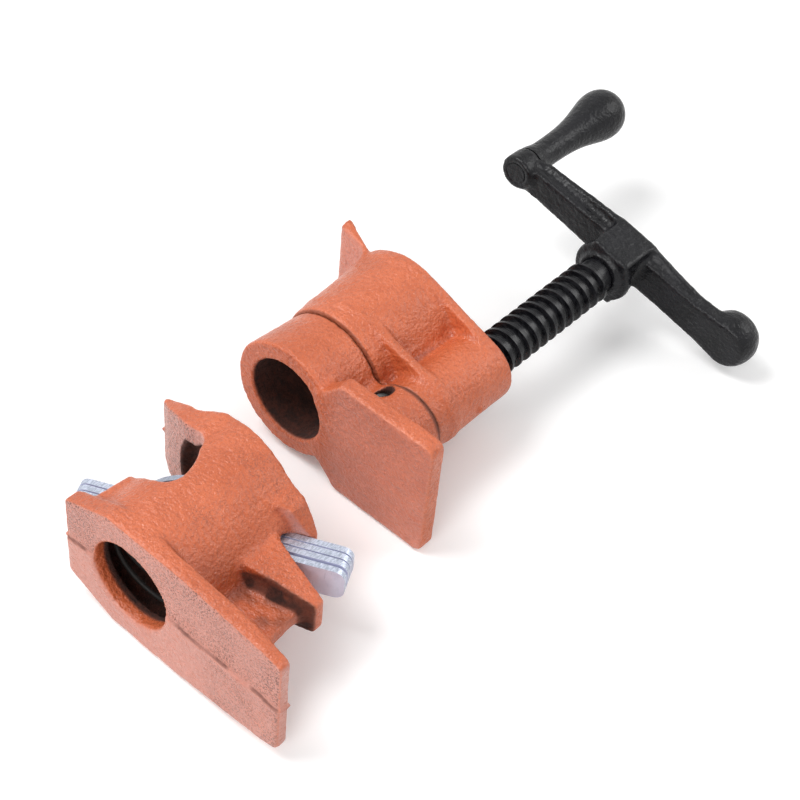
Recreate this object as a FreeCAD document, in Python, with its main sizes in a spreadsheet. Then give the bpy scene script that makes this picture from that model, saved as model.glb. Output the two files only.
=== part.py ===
import FreeCAD, Part
import Sketcher
import math
import os
import re

# Woodworking pipe clamp: a screw head and a sliding tail for a 3/4 inch pipe.
# Millimetres. Y runs along the pipe, X from the feet to the jaw tips, Z up.
# The origin is the middle of the moving jaw's pipe bore, on its clamping side.

V = FreeCAD.Vector
doc = FreeCAD.newDocument("PipeClamp")
sheet = doc.addObject("Spreadsheet::Sheet", "Sizes")

SIZES = [
    # the pipe and the screw, which everything else is laid out round
    ("pipe_bore", 13.75),
    ("socket_bore", 12.2),
    ("socket_mouth", 13.6),
    ("screw_offset", 30.6),
    ("screw_crest", 7.3),
    ("screw_root", 5.9),
    ("screw_pitch", 4.2),
    ("crest_flat", 0.9),
    ("crest_foot", 2.0),
    ("thread_gap", 0.3),
    # moving jaw
    ("ring_front", 19.7),
    ("ring_back", 18.4),
    ("jaw_depth", 19.8),
    ("jaw_reach", 55.5),
    ("jaw_half", 21.9),
    ("jaw_thick", 5.0),
    ("jaw_proud", 0.8),
    ("jaw_inner", 20.5),
    ("jaw_corner", 3.0),
    ("boss_radius", 12.8),
    ("boss_start", 3.5),
    ("jaw_web_half", 7.5),
    ("tip_radius", 6.8),
    ("tip_gap", 0.3),
    ("tip_floor", 6.5),
    ("neck_radius", 3.8),
    ("pin_radius", 2.5),
    ("pin_hole_gap", 0.05),
    ("pin_groove_gap", 0.3),
    ("pin_from_face", 15.2),
    ("pin_half", 7.5),
    # head casting
    ("head_gap", 0.3),
    ("head_length", 33.9),
    ("hub_front", 19.3),
    ("hub_back", 21.9),
    ("nut_front", 11.4),
    ("nut_back", 11.6),
    ("flange_thick", 3.6),
    ("ridge_from_front", 6.0),
    ("ridge_thick", 3.2),
    ("ridge_pipe", 20.1),
    ("ridge_nut", 12.0),
    ("web_half", 6.0),
    ("notch_half", 4.5),
    ("rib_radius", 1.5),
    ("rib_at", 17.6),
    ("wing_reach", 32.3),
    ("wing_front_half", 11.5),
    ("wing_back_half", 15.2),
    ("wing_tip_thick", 5.0),
    # crank
    ("crank_angle", 13.5),
    ("screw_out", 56.5),
    ("collar_radius", 10.5),
    ("collar_length", 4.0),
    ("collar_neck", 1.8),
    ("collar_neck_radius", 7.2),
    ("block_half_width", 7.2),
    ("block_half", 9.5),
    ("block_length", 10.5),
    ("arm_reach", 43.0),
    ("eye_reach", 44.4),
    ("paddle_reach", 43.6),
    ("arm_thick", 6.8),
    ("arm_end_thick", 8.0),
    ("arm_half", 6.2),
    ("arm_end_half", 4.9),
    ("arm_back_half", 9.0),
    ("arm_back_end", 5.6),
    ("arm_lip", 4.6),
    ("arm_front", 0.7),
    ("arm_setback", 1.0),
    ("channel_depth", 1.8),
    ("channel_rim", 2.1),
    ("paddle_radius", 9.1),
    ("paddle_back", 6.9),
    ("paddle_flat", 5.2),
    ("eye_radius", 5.9),
    ("eye_thick", 7.4),
    ("shank_radius", 5.6),
    ("shank_gap", 0.03),
    ("cross_pin_radius", 2.4),
    ("cross_pin_top", 5.0),
    # knob
    ("knob_gap", 0.2),
    ("knob_length", 47.5),
    ("knob_base", 5.6),
    ("knob_neck", 4.75),
    ("knob_head", 8.6),
    ("rivet_radius", 2.6),
    ("rivet_gap", 0.15),
    ("rivet_head", 3.6),
    ("rivet_sink", 1.2),
    # tail casting
    ("tail_shift_x", 18.54),
    ("tail_shift_y", -78.48),
    ("tail_foot", 24.9),
    ("tail_reach", 55.6),
    ("tail_foot_half", 14.8),
    ("tail_half", 21.9),
    ("tail_tip_half", 17.8),
    ("tail_plate", 5.5),
    ("tail_hub_front", 22.0),
    ("tail_hub_back", 22.4),
    ("tail_length", 48.7),
    ("tail_wall", 6.0),
    ("tail_cavity", 19.3),
    ("back_wall", 5.5),
    ("rear_slope", 0.11),
    ("cheek_reach", 25.2),
    ("cheek_back", 19.0),
    ("cheek_half", 14.0),
    ("cheek_taper", 1.9),
    ("hub_lean", 2.0),
    ("tail_tip_plate", 4.0),
    ("foot_reach", 35.4),
    ("foot_half", 12.4),
    ("rest_reach", 42.5),
    ("rest_half", 5.7),
    ("rest_root_half", 9.5),
    ("rest_y", 26.7),
    ("rest_thick", 3.8),
    ("web_thick", 4.4),
    ("web_notch", 38.5),
    ("opening_edge", 4.6),
    ("foot_pocket", 21.8),
    ("foot_pocket_half", 12.0),
    ("tail_flare", 8.0),
    ("tail_straight", 18.0),
    ("tail_corner", 1.5),
    ("lip_reach", 25.8),
    ("lip_half", 5.6),
    # clutch plates and spring
    ("clutch_tilt", 26.5),
    ("plate_thick", 1.85),
    ("plate_gap", 0.45),
    ("front_plate_gap", 0.9),
    ("stack_back", 27.4),
    ("plate_left", 35.8),
    ("plate_right", 43.0),
    ("plate_tab_half", 5.5),
    ("plate_tab_round", 3.2),
    ("plate_body", 18.4),
    ("plate_hole", 14.5),
    ("slot_gap", 0.6),
    ("clutch_swing", 2.2),
    ("spring_wire", 0.7),
    ("spring_gap", 0.9),
    ("spring_turns", 2.25),
]

VALUE = {}
for row, (word, number) in enumerate(SIZES, 1):
    sheet.set("A%d" % row, word)
    sheet.set("B%d" % row, str(number))
    sheet.setAlias("B%d" % row, word)
    VALUE[word] = number
doc.recompute()


def formula(text):
    """Writes the sheet's name before each size in an expression."""
    def word(match):
        found = match.group(0)
        return "Sizes." + found if found in VALUE else found
    return re.sub(r"[a-z][a-z_]*", word, str(text))


def number(text):
    """The same expression as a plain number."""
    probe = doc.getObject("Probe")
    if probe is None:
        probe = doc.addObject("Part::Box", "Probe")
    probe.setExpression("Placement.Base.x", formula(text))
    probe.recompute()
    return probe.Placement.Base.x


def bind(item, **texts):
    for prop, text in texts.items():
        item.setExpression(prop, formula(text))
    return item


def put(item, x="0", y="0", z="0"):
    item.setExpression("Placement.Base.x", formula(x))
    item.setExpression("Placement.Base.y", formula(y))
    item.setExpression("Placement.Base.z", formula(z))
    return item


ALONG_Y = FreeCAD.Rotation(V(1, 0, 0), -90)
UPRIGHT = FreeCAD.Rotation()


def rod(name, radius, length, x="0", y="0", z="0", turn=ALONG_Y):
    item = doc.addObject("Part::Cylinder", name)
    item.Placement.Rotation = turn
    bind(item, Radius=radius, Height=length)
    return put(item, x, y, z)


def taper(name, front, back, length, x="0", y="0", z="0", turn=ALONG_Y):
    item = doc.addObject("Part::Cone", name)
    item.Placement.Rotation = turn
    bind(item, Radius1=front, Radius2=back, Height=length)
    return put(item, x, y, z)


def block(name, x0, x1, y0, y1, z0, z1):
    item = doc.addObject("Part::Box", name)
    bind(item, Length="(%s) - (%s)" % (x1, x0), Width="(%s) - (%s)" % (y1, y0),
         Height="(%s) - (%s)" % (z1, z0))
    return put(item, x0, y0, z0)


def outline(name, corners, turn):
    """A closed sketch through corners, each a pair of expressions."""
    sketch = doc.addObject("Sketcher::SketchObject", name + "_outline")
    sketch.Placement.Rotation = turn
    count = len(corners)
    points = [V(number(a), number(b), 0) for a, b in corners]
    for i in range(count):
        sketch.addGeometry(Part.LineSegment(points[i], points[(i + 1) % count]), False)
    for i in range(count):
        sketch.addConstraint(Sketcher.Constraint("Coincident", i, 2, (i + 1) % count, 1))
    for i, (a, b) in enumerate(corners):
        for kind, text, now in (("DistanceX", a, points[i].x), ("DistanceY", b, points[i].y)):
            index = sketch.addConstraint(Sketcher.Constraint(kind, -1, 1, i, 1, now))
            label = "%s%d" % (kind[-1].lower() + "_corner", i)
            sketch.renameConstraint(index, label)
            sketch.setExpression("Constraints." + label, formula(text))
    return sketch


FACING_FRONT = FreeCAD.Rotation(V(1, 0, 0), 90)


def slab_back(name, corners, y0, y1):
    """Corners are (x, z), pushed along Y from y0 to y1."""
    sketch = outline(name, corners, FACING_FRONT)
    put(sketch, y=y0)
    item = doc.addObject("Part::Extrusion", name)
    item.Base = sketch
    item.DirMode = "Custom"
    item.Dir = V(0, 1, 0)
    item.Solid = True
    bind(item, LengthFwd="(%s) - (%s)" % (y1, y0))
    return item


def slab_up(name, corners, half):
    """Corners are (x, y), pushed up and down by half."""
    sketch = outline(name, corners, UPRIGHT)
    item = doc.addObject("Part::Extrusion", name)
    item.Base = sketch
    item.DirMode = "Custom"
    item.Dir = V(0, 0, 1)
    item.Solid = True
    item.Symmetric = True
    bind(item, LengthFwd="2 * (%s)" % half)
    return item


def join(name, parts):
    item = doc.addObject("Part::MultiFuse", name)
    item.Shapes = parts
    return item


def meet(name, one, other):
    item = doc.addObject("Part::MultiCommon", name)
    item.Shapes = [one, other]
    return item


def cut(name, base, tool):
    item = doc.addObject("Part::Cut", name)
    item.Base = base
    item.Tool = tool
    return item


def cut_all(name, base, tools):
    return cut(name, base, tools[0] if len(tools) == 1 else join(name + "_tools", tools))


def soften(name, base, radius, wanted):
    """Rounds the edges of base that wanted picks by their middle and direction."""
    doc.recompute()
    item = doc.addObject("Part::Fillet", name)
    item.Base = base
    size = number(radius)
    chosen = []
    for i, edge in enumerate(base.Shape.Edges, 1):
        ends = [v.Point for v in edge.Vertexes]
        run = ends[-1] - ends[0] if len(ends) == 2 else V(0, 0, 0)
        if wanted(edge.CenterOfMass, run, edge):
            chosen.append((i, size, size))
    item.Edges = chosen
    return item


def spread(name, r1, r2, y0, y1, offset="screw_offset"):
    """The outline round two circles, one on the pipe and one on the screw."""
    lean = "((%s) - (%s)) / (%s)" % (r1, r2, offset)
    rise = "sqrt(1 - (%s) * (%s))" % (lean, lean)
    sides = [
        ("(%s) * %s" % (r1, lean), "-(%s) * %s" % (r1, rise)),
        ("(%s) + (%s) * %s" % (offset, r2, lean), "-(%s) * %s" % (r2, rise)),
        ("(%s) + (%s) * %s" % (offset, r2, lean), "(%s) * %s" % (r2, rise)),
        ("(%s) * %s" % (r1, lean), "(%s) * %s" % (r1, rise)),
    ]
    length = "(%s) - (%s)" % (y1, y0)
    return join(name, [
        rod(name + "_pipe_side", r1, length, y=y0),
        rod(name + "_screw_side", r2, length, x=offset, y=y0),
        slab_back(name + "_between", sides, y0, y1),
    ])


def mirrored(corners):
    """Corners (x, z) of the upper half, and then those of the lower half going back."""
    return corners + [(x, "-(%s)" % z) for x, z in reversed(corners)]


NODES = []


def node(name, item):
    item.Label = name
    NODES.append(item)
    return item


# ---------------------------------------------------------------- moving jaw
BACK = "jaw_depth"
ring = taper("jaw_ring", "ring_front", "ring_back", BACK)
plate_corners = [
    ("0.6 * ring_front", "-0.6 * ring_front"),
    ("jaw_inner - 5.7", "-jaw_half + 6.4"),
    ("jaw_inner - 2.4", "-jaw_half + 2.9"),
    ("jaw_inner", "-jaw_half"),
    ("jaw_reach", "-jaw_half"),
    ("jaw_reach", "jaw_half"),
    ("jaw_inner", "jaw_half"),
    ("jaw_inner - 2.4", "jaw_half - 2.9"),
    ("jaw_inner - 5.7", "jaw_half - 6.4"),
    ("0.6 * ring_front", "0.6 * ring_front"),
]
plate_raw = slab_back("jaw_plate_raw", plate_corners, "-jaw_proud", "jaw_thick")
plate = soften("jaw_plate", plate_raw, "jaw_corner",
               lambda mid, run, edge: abs(run.y) > 1 and mid.x > VALUE["jaw_inner"] - 1)
boss = rod("jaw_boss", "boss_radius", "jaw_depth - boss_start", x="screw_offset", y="boss_start")
web = block("jaw_web", "0", "screw_offset", "0", "jaw_depth", "-jaw_web_half", "jaw_web_half")
jaw_body = join("jaw_body", [ring, plate, boss, web])
jaw = cut_all("moving_jaw_solid", jaw_body, [
    rod("jaw_pipe_hole", "pipe_bore", "jaw_depth + 20", y="-10"),
    rod("jaw_tip_hole", "tip_radius + tip_gap", "jaw_depth + 5 - tip_floor",
        x="screw_offset", y="tip_floor"),
    rod("jaw_pin_hole", "pin_radius + pin_hole_gap", "4 * boss_radius",
        x="screw_offset - neck_radius - pin_groove_gap - pin_radius",
        y="pin_from_face", z="-2 * boss_radius", turn=UPRIGHT),
])
node("moving_jaw", jaw)

node("jaw_retaining_pin", rod(
    "retaining_pin", "pin_radius", "2 * pin_half",
    x="screw_offset - neck_radius - pin_groove_gap - pin_radius",
    y="pin_from_face", z="-pin_half", turn=UPRIGHT))

# -------------------------------------------------------------- head casting
FRONT = "jaw_depth + head_gap"
REAR = "jaw_depth + head_gap + head_length"
hub = taper("head_hub", "hub_front", "hub_back", "head_length", y=FRONT)
nut = taper("head_nut", "nut_front", "nut_back", "head_length", x="screw_offset", y=FRONT)
flange = spread("head_flange", "hub_back", "nut_back", REAR + " - flange_thick", REAR)
ridge = spread("head_ridge", "ridge_pipe", "ridge_nut",
               FRONT + " + ridge_from_front",
               FRONT + " + ridge_from_front + ridge_thick")
head_web = block("head_web", "0", "screw_offset", FRONT + " + ridge_from_front", REAR,
                 "-web_half", "web_half")
front_web = block("head_front_web", "0", "screw_offset", FRONT, REAR,
                  "-notch_half", "notch_half")
RIB_Z = "sqrt(hub_front * hub_front - rib_at * rib_at) + 0.5 * rib_radius"
RIB_Y = FRONT + " + ridge_from_front + ridge_thick"
RIB_LENGTH = "head_length - ridge_from_front - ridge_thick - flange_thick"
web_ribs = [
    rod("head_rib_top", "rib_radius", RIB_LENGTH, x="rib_at", y=RIB_Y, z=RIB_Z),
    rod("head_rib_bottom", "rib_radius", RIB_LENGTH, x="rib_at", y=RIB_Y, z="-(%s)" % RIB_Z),
]
wing_plan = [
    ("-0.45 * hub_back", REAR + " - 8"),
    ("-0.64 * hub_back", REAR + " - 4.5"),
    ("-wing_reach + 10.3", REAR + " + 1"),
    ("-wing_reach + 1.3", REAR + " + 2.3"),
    ("-wing_reach", REAR + " + 3.2"),
    ("-wing_reach + 0.2", REAR + " + 2.3 + wing_tip_thick"),
    ("-wing_reach + 6.5", REAR + " + 4.4"),
    ("-wing_reach + 13", REAR + " + 1.6"),
    ("-0.45 * hub_back", REAR),
]
wing_flat = slab_up("wing_plan", wing_plan, "wing_back_half")
wing_side = doc.addObject("Part::Wedge", "wing_side")
bind(wing_side, Xmin="0", Xmax="wing_reach + 2", Ymin="0", Ymax="head_length",
     Zmin="-wing_front_half", Zmax="wing_front_half",
     X2min="0", X2max="wing_reach + 2",
     Z2min="-wing_back_half - 3", Z2max="wing_back_half + 3")
put(wing_side, x="-wing_reach - 1", y=REAR + " - head_length / 2 + 12")
wing = meet("head_wing", wing_flat, wing_side)
head_body = join("head_body", [hub, nut, flange, ridge, head_web, front_web, wing] + web_ribs)
head = cut_all("head_casting_solid", head_body, [
    rod("head_pipe_hole", "socket_bore", "head_length + 20", y=FRONT + " - 10"),
    taper("head_pipe_mouth", "socket_mouth", "socket_bore", "socket_mouth - socket_bore",
          y=FRONT),
    rod("head_screw_hole", "screw_crest + thread_gap", "head_length + 20",
        x="screw_offset", y=FRONT + " - 10"),
])
node("head_casting", head)

# --------------------------------------------------------------------- screw
# plain tip with a groove for the pin, thread, then a plain shank in the crank
COLLAR = REAR + " + screw_out"
THREAD_START = FRONT + " + 0.7"
tip = rod("screw_tip", "tip_radius", THREAD_START + " - tip_floor - tip_gap",
          x="screw_offset", y="tip_floor + tip_gap")
groove_outer = rod("groove_outer", "tip_radius + 2", "2 * pin_radius + 2 * pin_groove_gap",
                   x="screw_offset", y="pin_from_face - pin_radius - pin_groove_gap")
groove_inner = rod("groove_inner", "neck_radius", "4 * pin_radius",
                   x="screw_offset", y="pin_from_face - 2 * pin_radius")
groove = cut("tip_groove", groove_outer, groove_inner)
core = rod("screw_core", "screw_root", COLLAR + " - (" + THREAD_START + ") + 2",
           x="screw_offset", y=THREAD_START + " - 1")
shank = rod("screw_shank", "shank_radius", "collar_length + block_length - 1",
            x="screw_offset", y=COLLAR)

start = number(THREAD_START)
stop = number(COLLAR) - 2.5
pitch = VALUE["screw_pitch"]
low = VALUE["screw_root"] - 0.3
high = VALUE["screw_crest"]
helix = Part.makeHelix(pitch, stop - start - VALUE["crest_foot"], low)
half_foot = VALUE["crest_foot"] / 2
half_flat = VALUE["crest_flat"] / 2
tooth = Part.makePolygon([
    V(low, 0, -half_foot), V(high, 0, -half_flat), V(high, 0, half_flat),
    V(low, 0, half_foot), V(low, 0, -half_foot),
])
thread_shape = Part.Wire(helix.Edges).makePipeShell([tooth], True, True)
thread = doc.addObject("Part::Feature", "screw_thread")
thread.Shape = thread_shape
thread.Placement = FreeCAD.Placement(V(VALUE["screw_offset"], start + half_foot, 0), ALONG_Y)
screw_body = join("screw_body", [tip, core, shank, thread])
screw_cut = cut("screw_grooved", screw_body, groove)


def crank_turn(item, y="0", z="0"):
    """Turns an upright item on the screw's axis to the crank's rest angle."""
    item.Placement.Rotation = FreeCAD.Rotation(V(0, 1, 0), 1)
    item.setExpression("Placement.Rotation.Angle", formula("crank_angle"))
    return put(item, x="screw_offset + (%s) * sin(crank_angle)" % z, y=y,
               z="(%s) * cos(crank_angle)" % z)


PIN_Y = COLLAR + " + collar_length + 5.5"
screw_pin_hole = crank_turn(rod("screw_pin_hole", "cross_pin_radius + shank_gap",
                                "2 * block_half", turn=UPRIGHT),
                            y=PIN_Y, z="cross_pin_top - 2 * block_half")
node("screw", cut("screw_solid", screw_cut, screw_pin_hole))

# --------------------------------------------------------------------- crank
BLOCK = COLLAR + " + collar_length"
ARM = BLOCK + " + block_length - 3.4"
collar_neck = rod("crank_neck", "collar_neck_radius", "collar_neck + 1", y=COLLAR)
collar = meet("crank_collar",
              rod("crank_collar_round", "collar_radius", "collar_length - collar_neck + 1",
                  y=COLLAR + " + collar_neck"),
              block("crank_collar_flats", "-collar_radius - 1", "collar_radius + 1", COLLAR,
                    COLLAR + " + collar_length + 1", "-block_half + 0.5", "block_half - 0.5"))
crank_block = block("crank_block", "-block_half_width", "block_half_width",
                    COLLAR + " + collar_neck", ARM + " + arm_thick", "-block_half", "block_half")
ARM_TIP = ARM + " - arm_setback"
EYE_BACK = ARM_TIP + " - 0.8 + eye_thick"
# the arms' back, cut down beside the knob
arm_back_edge = [
    ("arm_reach", ARM_TIP + " + arm_end_thick"),
    ("-eye_reach + knob_base + 0.5", ARM_TIP + " + arm_end_thick"),
    ("-eye_reach + knob_base + 0.5", EYE_BACK), ("-arm_reach", EYE_BACK),
]
arm_plan = [
    ("-arm_reach", ARM_TIP + " + arm_front"), ("0", ARM + " + arm_front"),
    ("arm_reach - 10", ARM + " + 2 * arm_front"), ("arm_reach", ARM + " + 2.5 * arm_front"),
] + arm_back_edge
arm_side = [
    ("-arm_reach", "arm_end_half"), ("0", "arm_half"), ("arm_reach - 13", "arm_half + 0.3"),
    ("arm_reach", "arm_half + 1.5"),
]
arms = meet("crank_arms", slab_up("arm_plan", arm_plan, "2 * arm_half"),
            slab_back("arm_side", mirrored(arm_side), ARM + " - 10", ARM + " + arm_thick + 10"))
arm_back_plan = [
    ("-arm_reach", ARM_TIP + " + arm_lip - 0.6"), ("0", ARM + " + arm_lip"),
    ("arm_reach", ARM + " + arm_lip"),
] + arm_back_edge
arm_back_side = [
    ("-arm_reach", "arm_back_end - 0.4"), ("-block_half_width", "arm_back_half"),
    ("block_half_width", "arm_back_half"), ("0.75 * arm_reach", "arm_back_end"),
    ("arm_reach", "arm_back_end"),
]
arm_back = meet("crank_arm_back", slab_up("arm_back_plan", arm_back_plan, "2 * arm_back_half"),
                slab_back("arm_back_side", mirrored(arm_back_side),
                          ARM + " - 10", ARM + " + arm_thick + 10"))


def channel(name, x0, x1, z0, z1):
    """A channel in the arms' upper or lower side, whose floor goes from z0 at x0 to z1 at x1."""
    outer = "4 * arm_half" if name.endswith("top") else "-4 * arm_half"
    return slab_back(name, [(x0, z0), (x1, z1), (x1, outer), (x0, outer)],
                     ARM + " + channel_rim", ARM + " + arm_lip")


LEFT_FLOOR = ("arm_end_half - channel_depth + 0.5", "arm_half - channel_depth - 0.6")
RIGHT_FLOOR = ("arm_half - channel_depth - 0.6", "arm_half - 0.3")
LEFT_SPAN = ("-arm_reach + 2.5", "-1.5 * block_half_width")
RIGHT_SPAN = ("1.45 * block_half_width", "0.62 * arm_reach")
channels = [
    channel("channel_left_top", *LEFT_SPAN, *LEFT_FLOOR),
    channel("channel_left_under", *LEFT_SPAN, *("-(%s)" % z for z in LEFT_FLOOR)),
    channel("channel_right_top", *RIGHT_SPAN, *RIGHT_FLOOR),
    channel("channel_right_under", *RIGHT_SPAN, *("-(%s)" % z for z in RIGHT_FLOOR)),
]

# the short arm ends in a paddle: a ball with a flat front and back
paddle_round = doc.addObject("Part::Sphere", "paddle_round")
bind(paddle_round, Radius="paddle_radius")
put(paddle_round, x="paddle_reach", y=ARM + " + paddle_back")
paddle = meet("paddle", paddle_round,
              block("paddle_flats", "0", "2 * paddle_reach", ARM + " + paddle_back - paddle_flat",
                    ARM + " + paddle_back + paddle_flat", "-2 * paddle_radius", "2 * paddle_radius"))
eye = rod("crank_eye", "eye_radius", "eye_thick", x="-eye_reach", y=ARM + " - arm_setback - 0.8")
crank_body = join("crank_body", [collar_neck, collar, crank_block, arms, arm_back, paddle, eye])
crank = cut_all("crank_solid", crank_body, channels + [
    rod("crank_shank_hole", "shank_radius + shank_gap",
        "collar_length + block_length - 1 + shank_gap", y=COLLAR),
    rod("crank_core_hole", "screw_root + shank_gap", "1 + shank_gap", y=COLLAR),
    rod("crank_pin_hole", "cross_pin_radius + shank_gap", "2 * block_half", y=PIN_Y,
        z="cross_pin_top - 2 * block_half", turn=UPRIGHT),
    rod("rivet_hole", "rivet_radius + shank_gap", "eye_thick + 20", x="-eye_reach",
        y=ARM + " - arm_setback - 10"),
    rod("rivet_recess", "rivet_head + 0.4", "rivet_sink", x="-eye_reach",
        y=ARM + " - arm_setback - 0.8"),
])
node("crank_casting", crank_turn(crank))

node("crank_cross_pin", crank_turn(rod("cross_pin", "cross_pin_radius",
                                       "block_half + cross_pin_top", turn=UPRIGHT),
                                   y=PIN_Y, z="-block_half"))

# ---------------------------------------------------------------------- knob
KNOB = EYE_BACK + " + knob_gap"
knob_start = number(KNOB)
knob_profile = [
    (0.0, 1.00, "knob_base"), (0.08, 0.90, "knob_base"), (0.20, 1.00, "knob_neck"),
    (0.36, 1.05, "knob_neck"), (0.52, 1.25, "knob_neck"), (0.65, 0.86, "knob_head"),
    (0.78, 1.00, "knob_head"), (0.90, 0.86, "knob_head"), (0.975, 0.48, "knob_head"),
    (1.0, 0.0, "knob_head"),
]
length = VALUE["knob_length"]
points = [V(VALUE[size] * share, 0, length * at) for at, share, size in knob_profile]
curve = Part.BSplineCurve()
curve.interpolate(points, InitialTangent=V(0, 0, 1), FinalTangent=V(-1, 0, 0))
side = Part.Wire([Part.LineSegment(V(0, 0, 0), points[0]).toShape(), curve.toShape(),
                  Part.LineSegment(points[-1], V(0, 0, 0)).toShape()])
knob_raw = doc.addObject("Part::Feature", "knob_raw")
knob_raw.Shape = Part.Face(side).revolve(V(0, 0, 0), V(0, 0, 1), 360)
knob_raw.Placement.Rotation = ALONG_Y
put(knob_raw, x="-eye_reach", y=KNOB)
RIVET_LENGTH = "eye_thick - rivet_sink + knob_gap + 0.6 * knob_length"
knob = cut_all("knob_solid", knob_raw, [
    rod("knob_hole", "rivet_radius + rivet_gap", "0.6 * knob_length + 0.3",
        x="-eye_reach", y=KNOB),
])
node("crank_knob", crank_turn(knob))

node("knob_rivet", crank_turn(join("rivet_turned", [
    rod("rivet_stem", "rivet_radius", RIVET_LENGTH, x="-eye_reach",
        y=ARM + " - arm_setback - 0.8 + rivet_sink"),
    rod("rivet_head_disc", "rivet_head", "rivet_sink - 0.2", x="-eye_reach",
        y=ARM + " - arm_setback - 0.6"),
])))

# -------------------------------------------------------------- tail casting
tail_corners = [
    ("-tail_foot", "-tail_foot_half"), ("-tail_flare", "-tail_half"),
    ("tail_straight", "-tail_half"),
    ("0.72 * tail_reach", "-tail_half + 1.9"), ("0.88 * tail_reach", "-tail_half + 2.7"),
    ("tail_reach", "-tail_tip_half"), ("tail_reach", "tail_tip_half"),
    ("0.88 * tail_reach", "tail_half - 2.7"), ("0.72 * tail_reach", "tail_half - 1.9"),
    ("tail_straight", "tail_half"), ("-tail_flare", "tail_half"),
    ("-tail_foot", "tail_foot_half"),
]
tail_plate_raw = slab_back("tail_plate_raw", tail_corners, "0", "tail_plate")
tail_plate = soften("tail_plate_solid", tail_plate_raw, "tail_corner",
                    lambda mid, run, edge: abs(run.y) > 1 and abs(mid.x) > VALUE["tail_foot"] - 1)
tail_hub = taper("tail_hub", "tail_hub_front", "tail_hub_back", "tail_length + 1", y="2")
tail_hub.Placement.Rotation = FreeCAD.Rotation(V(0, 0, 1), VALUE["hub_lean"]).multiply(ALONG_Y)
cheek_plan = [
    ("-10", "0"), ("-tail_foot + 1", "0"), ("-cheek_reach - 1", "tail_plate - 1"),
    ("-cheek_reach - 1", "0.8 * cheek_back"), ("-cheek_reach + 1.2", "cheek_back"),
    ("-cheek_reach + 4.7", "cheek_back + 2.5"), ("-cheek_reach + 10.2", "cheek_back + 5"),
    ("-10", "cheek_back + 6"),
]
cheek = meet("tail_cheek", slab_up("tail_cheek_flat", cheek_plan, "cheek_half"),
             taper("tail_cheek_round", "cheek_reach", "cheek_reach - cheek_taper",
                   "cheek_back + 6"))
foot_plan = [
    ("-8", "tail_length - 10.5"), ("-20", "tail_length - 9.2"),
    ("-foot_reach + 5", "tail_length - 5.9"), ("-foot_reach + 1", "tail_length - 4.6"),
    ("-foot_reach", "tail_length - 3.3"), ("-foot_reach + 0.7", "tail_length - 1.9"),
    ("-25", "tail_length - 2"), ("-21", "tail_length - 2.4"), ("-17", "tail_length - 0.3"),
    ("-11", "tail_length + 1.3"), ("-8", "tail_length + 1.5"),
]
foot_side = [
    ("-foot_reach - 1", "foot_half - 0.9"), ("-foot_reach + 1", "foot_half"),
    ("-25", "foot_half + 4.5"), ("-14", "foot_half + 7.8"), ("0", "foot_half + 7.8"),
]
tail_foot = meet("tail_foot_solid", slab_up("tail_foot_wing", foot_plan, "2 * foot_half"),
                 slab_back("tail_foot_side", mirrored(foot_side),
                           "tail_length - 15", "tail_length + 5"))
rest_loft = doc.addObject("Part::Loft", "tail_rest")


def section(name, x, y0, y1, half):
    """An upright rectangle across the X axis."""
    item = doc.addObject("Part::Plane", name)
    item.Placement.Rotation = FreeCAD.Rotation(V(0, 1, 0), V(0, 0, 1), V(1, 0, 0), "XYZ")
    bind(item, Length="(%s) - (%s)" % (y1, y0), Width="2 * (%s)" % half)
    return put(item, x=x, y=y0, z="-(%s)" % half)


rest_loft.Sections = [
    section("rest_root", "tail_straight", "rest_y - 5", "rest_y + rest_thick + 5.4", "rest_root_half"),
    section("rest_tip", "rest_reach", "rest_y", "rest_y + rest_thick", "rest_half"),
]
rest_loft.Solid = True
rest_loft.Ruled = True
tail_web_plan = [
    ("10", "0"), ("web_notch + 5", "0"), ("web_notch + 5", "tail_plate"),
    ("web_notch + 1.5", "tail_plate + 5"), ("web_notch", "rest_y - 3"),
    ("rest_reach - 1", "rest_y + 1"), ("10", "rest_y"),
]
tail_web = slab_up("tail_web", tail_web_plan, "web_thick / 2")

# a lip on the jaw side behind the clutch plates, whose front face lies as they do
LIP_FACE = "(stack_back - 0.1 + (%s) * sin(clutch_tilt)) / cos(clutch_tilt)"
lip_plan = [
    ("10", LIP_FACE % "10"), ("lip_reach", LIP_FACE % "lip_reach"),
    ("lip_reach", "tail_length + 2"), ("10", "tail_length + 2"),
]
lip_side = [
    ("5", "lip_half + 9.9"), ("16", "lip_half + 10.4"), ("20.3", "lip_half + 8.7"),
    ("23.4", "lip_half + 3.7"), ("lip_reach", "lip_half"),
]
tail_lip = meet("tail_lip", slab_up("tail_lip_flat", lip_plan, "tail_half"),
                slab_back("tail_lip_side", mirrored(lip_side), "20", "tail_length + 5"))
tail_body = join("tail_body", [tail_plate, tail_hub, cheek, tail_foot, rest_loft, tail_web,
                               tail_lip])

# one slot for the tilted stack through both sides, with room for its swing
FRONT_Y = "(stack_back - 4 * plate_thick - 2 * plate_gap - front_plate_gap)"
SWING = "(2.2 * tail_hub_front * tan(clutch_swing))"
# the plates' holes are centred on the pipe at the middle of the stack
HOLE_AT = "((stack_back + " + FRONT_Y + ") / 2 * tan(clutch_tilt))"


def tilted(item, x0, y0, z0):
    """Lays an item along the plates, x0 along them and y0 across them."""
    item.Placement.Rotation = FreeCAD.Rotation(V(0, 0, 1), 1)
    item.setExpression("Placement.Rotation.Angle", formula("clutch_tilt"))
    return put(item, x="(%s) * cos(clutch_tilt) - (%s) * sin(clutch_tilt)" % (x0, y0),
               y="(%s) * sin(clutch_tilt) + (%s) * cos(clutch_tilt)" % (x0, y0), z=z0)


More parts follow.
